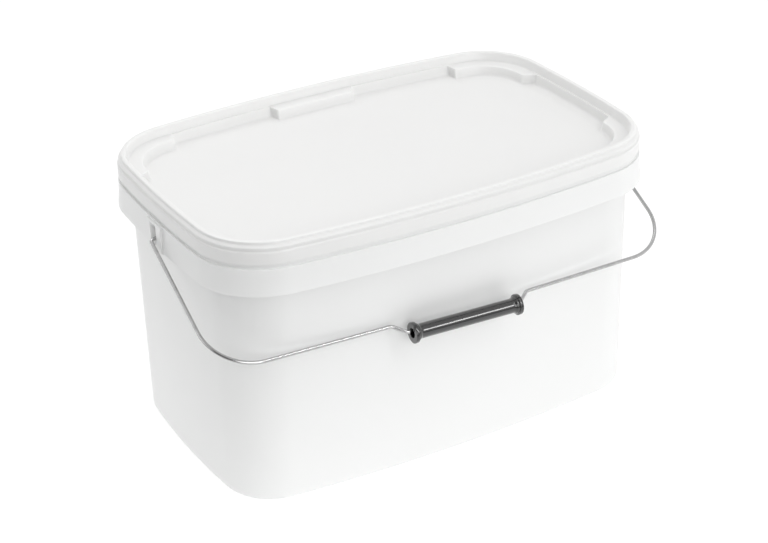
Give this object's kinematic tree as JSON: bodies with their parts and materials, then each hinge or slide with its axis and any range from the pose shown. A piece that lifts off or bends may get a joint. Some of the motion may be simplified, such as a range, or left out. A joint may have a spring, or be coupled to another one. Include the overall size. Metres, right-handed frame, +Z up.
{
  "type": "rectangular lidded pail",
  "caption": "Rectangular plastic pail with bowed sides and a stiffening collar, a recessed press-on lid, and a swinging wire bail with a loose tubular hand grip.",
  "frame": {"origin": "centre of the tub's flat underside", "axes": "+X along the long sides, -Y towards the long side that the bail hangs against, +Z up through the lid"},
  "size_m": [0.4122, 0.2722, 0.2335],
  "materials": {
    "tub_plastic": "satin white polypropylene, slightly translucent",
    "lid_plastic": "satin white polypropylene, slightly translucent",
    "galvanised_wire": "bright galvanised steel wire",
    "grip_plastic": "glossy black"
  },
  "bodies": {
    "pail": {"pail_tub": "tub_plastic"},
    "lid": {"lid": "lid_plastic"},
    "bail": {"bail_wire": "galvanised_wire"},
    "grip": {"hand_grip": "grip_plastic"}
  },
  "joints": [
    {"name": "lid_lift", "type": "slide", "parent": "pail", "child": "lid", "axis": [0, 0, 1], "range_m": [0, 0.06]},
    {"name": "bail_swing", "type": "hinge", "parent": "pail", "child": "bail", "pos_m": [0, 0, 0.1985], "axis": [-1, 0, 0], "range_deg": [0, 236]},
    {"name": "grip_spin", "type": "hinge", "parent": "bail", "child": "grip", "pos_m": [-0.0012, -0.13076, 0.12897], "axis": [0.9993, -0.0339, -0.018], "continuous": true}
  ]
}
